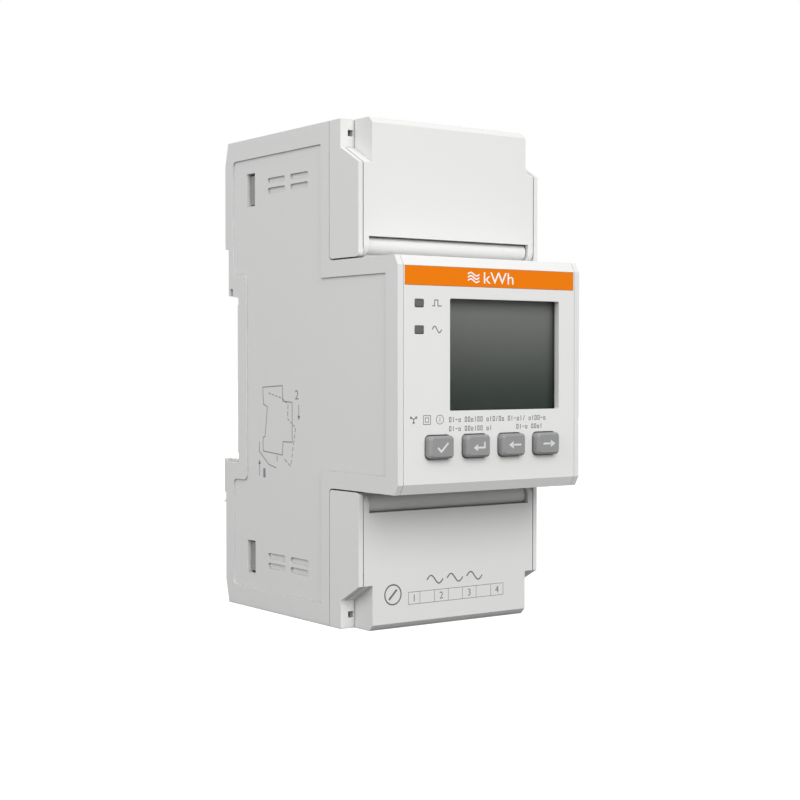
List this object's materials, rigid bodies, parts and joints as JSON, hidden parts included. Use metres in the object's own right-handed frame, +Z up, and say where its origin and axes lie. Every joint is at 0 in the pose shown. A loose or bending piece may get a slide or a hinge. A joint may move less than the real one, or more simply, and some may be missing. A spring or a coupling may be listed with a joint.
{
  "type": "smart electric meter",
  "caption": "Rail-mounted electric meter with a stepped display nose, press keys, hinged terminal covers, screw clamps and a spring-loaded rail clip.",
  "frame": {"origin": "on the rail seat, at the middle of the casing's width and height", "axes": "+X to the right seen from the front, +Y to the rear, into the rail, +Z up"},
  "size_m": [0.045, 0.068, 0.1],
  "materials": {
    "casing_grey": "fine matt texture, light grey",
    "shell_white": "fine matt texture, warm white",
    "clip_white": "smooth, slightly waxy",
    "spring_steel": "drawn wire",
    "title_orange": "printed film",
    "window_clear": "clear, glossy",
    "lcd_dark": "dark grey-green glass",
    "light_guide": "milky",
    "contact_rubber": "matt",
    "board_green": "solder mask",
    "screw_steel": "zinc plated",
    "cage_plated": "yellow plated",
    "pipe_smoke": "smoke tinted, clear",
    "led_body": "moulded",
    "component_black": "moulded epoxy",
    "key_grey": "satin",
    "terminal_black": "moulded polyamide",
    "contact_brass": "tinned brass",
    "core_steel": "laminated",
    "winding_tape": "polyester tape",
    "capacitor_sleeve": "shrunk sleeve",
    "arrester_blue": "dipped coating",
    "ct_blue": "moulded case",
    "cell_steel": "nickel plated"
  },
  "bodies": {
    "casing": {"base_housing": "casing_grey", "front_shell": "shell_white", "clip_spring": "spring_steel", "title_strip": "title_orange", "display_window": "window_clear", "lcd_frame": "shell_white", "lcd_glass": "lcd_dark", "backlight": "light_guide", "contact_strip": "contact_rubber", "display_board": "board_green", "board_screws": "screw_steel", "light_pipe_pulse": "pipe_smoke", "light_pipe_status": "pipe_smoke", "indicator_leds": "led_body", "key_switches": "component_black", "main_board": "board_green", "supply_board": "board_green", "supply_header": "component_black", "display_header": "component_black", "terminal_block_upper": "terminal_black", "terminal_block_lower": "terminal_black", "contact_bars_upper": "contact_brass", "contact_bars_lower": "contact_brass", "transformer_core": "core_steel", "transformer_winding": "winding_tape", "supply_capacitors": "capacitor_sleeve", "surge_arresters": "arrester_blue", "current_transformer_1": "ct_blue", "current_transformer_2": "ct_blue", "current_transformer_3": "ct_blue", "meter_chip": "component_black", "backup_cell": "cell_steel"},
    "cover_upper": {"terminal_cover_upper": "shell_white"},
    "cover_lower": {"terminal_cover_lower": "shell_white"},
    "clip": {"rail_clip": "clip_white"},
    "confirm_key": {"key_confirm": "key_grey"},
    "back_key": {"key_back": "key_grey"},
    "left_key": {"key_left": "key_grey"},
    "right_key": {"key_right": "key_grey"},
    "upper_screw_1": {"screw_upper_1": "screw_steel"},
    "upper_cage_1": {"cage_upper_1": "cage_plated"},
    "upper_screw_2": {"screw_upper_2": "screw_steel"},
    "upper_cage_2": {"cage_upper_2": "cage_plated"},
    "upper_screw_3": {"screw_upper_3": "screw_steel"},
    "upper_cage_3": {"cage_upper_3": "cage_plated"},
    "upper_screw_4": {"screw_upper_4": "screw_steel"},
    "upper_cage_4": {"cage_upper_4": "cage_plated"},
    "upper_screw_5": {"screw_upper_5": "screw_steel"},
    "upper_cage_5": {"cage_upper_5": "cage_plated"},
    "upper_screw_6": {"screw_upper_6": "screw_steel"},
    "upper_cage_6": {"cage_upper_6": "cage_plated"},
    "lower_screw_1": {"screw_lower_1": "screw_steel"},
    "lower_cage_1": {"cage_lower_1": "cage_plated"},
    "lower_screw_2": {"screw_lower_2": "screw_steel"},
    "lower_cage_2": {"cage_lower_2": "cage_plated"},
    "lower_screw_3": {"screw_lower_3": "screw_steel"},
    "lower_cage_3": {"cage_lower_3": "cage_plated"},
    "lower_screw_4": {"screw_lower_4": "screw_steel"},
    "lower_cage_4": {"cage_lower_4": "cage_plated"}
  },
  "joints": [
    {"name": "cover_upper_hinge", "type": "hinge", "parent": "casing", "child": "cover_upper", "pos_m": [0, -0.0442, 0.0253], "axis": [1, 0, 0], "range_deg": [0, 90]},
    {"name": "cover_lower_hinge", "type": "hinge", "parent": "casing", "child": "cover_lower", "pos_m": [0, -0.0442, -0.0253], "axis": [-1, 0, 0], "range_deg": [0, 90]},
    {"name": "rail_clip_slide", "type": "slide", "parent": "casing", "child": "clip", "axis": [0, 0, -1], "range_m": [0, 0.0035], "stiffness_N_per_m": 1500, "springref_m": -0.003, "deforming": ["clip_spring"]},
    {"name": "key_confirm_press", "type": "slide", "parent": "casing", "child": "confirm_key", "axis": [0, 1, 0], "range_m": [0, 0.0005], "stiffness_N_per_m": 2500, "springref_m": -0.0003},
    {"name": "key_back_press", "type": "slide", "parent": "casing", "child": "back_key", "axis": [0, 1, 0], "range_m": [0, 0.0005], "stiffness_N_per_m": 2500, "springref_m": -0.0003},
    {"name": "key_left_press", "type": "slide", "parent": "casing", "child": "left_key", "axis": [0, 1, 0], "range_m": [0, 0.0005], "stiffness_N_per_m": 2500, "springref_m": -0.0003},
    {"name": "key_right_press", "type": "slide", "parent": "casing", "child": "right_key", "axis": [0, 1, 0], "range_m": [0, 0.0005], "stiffness_N_per_m": 2500, "springref_m": -0.0003},
    {"name": "screw_upper_1_turn", "type": "hinge", "parent": "casing", "child": "upper_screw_1", "pos_m": [-0.01575, -0.0379, 0.0426], "axis": [0, 1, 0], "range_deg": [0, 2160]},
    {"name": "cage_upper_1_rise", "type": "slide", "parent": "casing", "child": "upper_cage_1", "axis": [0, -1, 0], "range_m": [0, 0.003]},
    {"name": "screw_upper_2_turn", "type": "hinge", "parent": "casing", "child": "upper_screw_2", "pos_m": [-0.00945, -0.0379, 0.0426], "axis": [0, 1, 0], "range_deg": [0, 2160]},
    {"name": "cage_upper_2_rise", "type": "slide", "parent": "casing", "child": "upper_cage_2", "axis": [0, -1, 0], "range_m": [0, 0.003]},
    {"name": "screw_upper_3_turn", "type": "hinge", "parent": "casing", "child": "upper_screw_3", "pos_m": [-0.00315, -0.0379, 0.0426], "axis": [0, 1, 0], "range_deg": [0, 2160]},
    {"name": "cage_upper_3_rise", "type": "slide", "parent": "casing", "child": "upper_cage_3", "axis": [0, -1, 0], "range_m": [0, 0.003]},
    {"name": "screw_upper_4_turn", "type": "hinge", "parent": "casing", "child": "upper_screw_4", "pos_m": [0.00315, -0.0379, 0.0426], "axis": [0, 1, 0], "range_deg": [0, 2160]},
    {"name": "cage_upper_4_rise", "type": "slide", "parent": "casing", "child": "upper_cage_4", "axis": [0, -1, 0], "range_m": [0, 0.003]},
    {"name": "screw_upper_5_turn", "type": "hinge", "parent": "casing", "child": "upper_screw_5", "pos_m": [0.00945, -0.0379, 0.0426], "axis": [0, 1, 0], "range_deg": [0, 2160]},
    {"name": "cage_upper_5_rise", "type": "slide", "parent": "casing", "child": "upper_cage_5", "axis": [0, -1, 0], "range_m": [0, 0.003]},
    {"name": "screw_upper_6_turn", "type": "hinge", "parent": "casing", "child": "upper_screw_6", "pos_m": [0.01575, -0.0379, 0.0426], "axis": [0, 1, 0], "range_deg": [0, 2160]},
    {"name": "cage_upper_6_rise", "type": "slide", "parent": "casing", "child": "upper_cage_6", "axis": [0, -1, 0], "range_m": [0, 0.003]},
    {"name": "screw_lower_1_turn", "type": "hinge", "parent": "casing", "child": "lower_screw_1", "pos_m": [-0.0141, -0.0379, -0.0426], "axis": [0, 1, 0], "range_deg": [0, 1800]},
    {"name": "cage_lower_1_rise", "type": "slide", "parent": "casing", "child": "lower_cage_1", "axis": [0, -1, 0], "range_m": [0, 0.003]},
    {"name": "screw_lower_2_turn", "type": "hinge", "parent": "casing", "child": "lower_screw_2", "pos_m": [-0.0047, -0.0379, -0.0426], "axis": [0, 1, 0], "range_deg": [0, 1800]},
    {"name": "cage_lower_2_rise", "type": "slide", "parent": "casing", "child": "lower_cage_2", "axis": [0, -1, 0], "range_m": [0, 0.003]},
    {"name": "screw_lower_3_turn", "type": "hinge", "parent": "casing", "child": "lower_screw_3", "pos_m": [0.0047, -0.0379, -0.0426], "axis": [0, 1, 0], "range_deg": [0, 1800]},
    {"name": "cage_lower_3_rise", "type": "slide", "parent": "casing", "child": "lower_cage_3", "axis": [0, -1, 0], "range_m": [0, 0.003]},
    {"name": "screw_lower_4_turn", "type": "hinge", "parent": "casing", "child": "lower_screw_4", "pos_m": [0.0141, -0.0379, -0.0426], "axis": [0, 1, 0], "range_deg": [0, 1800]},
    {"name": "cage_lower_4_rise", "type": "slide", "parent": "casing", "child": "lower_cage_4", "axis": [0, -1, 0], "range_m": [0, 0.003]}
  ],
  "couplings": [
    {"joint": "screw_upper_1_turn", "follows": "cage_upper_1_rise", "rad_per_m": 12566},
    {"joint": "screw_upper_2_turn", "follows": "cage_upper_2_rise", "rad_per_m": 12566},
    {"joint": "screw_upper_3_turn", "follows": "cage_upper_3_rise", "rad_per_m": 12566},
    {"joint": "screw_upper_4_turn", "follows": "cage_upper_4_rise", "rad_per_m": 12566},
    {"joint": "screw_upper_5_turn", "follows": "cage_upper_5_rise", "rad_per_m": 12566},
    {"joint": "screw_upper_6_turn", "follows": "cage_upper_6_rise", "rad_per_m": 12566},
    {"joint": "screw_lower_1_turn", "follows": "cage_lower_1_rise", "rad_per_m": 10472},
    {"joint": "screw_lower_2_turn", "follows": "cage_lower_2_rise", "rad_per_m": 10472},
    {"joint": "screw_lower_3_turn", "follows": "cage_lower_3_rise", "rad_per_m": 10472},
    {"joint": "screw_lower_4_turn", "follows": "cage_lower_4_rise", "rad_per_m": 10472}
  ]
}
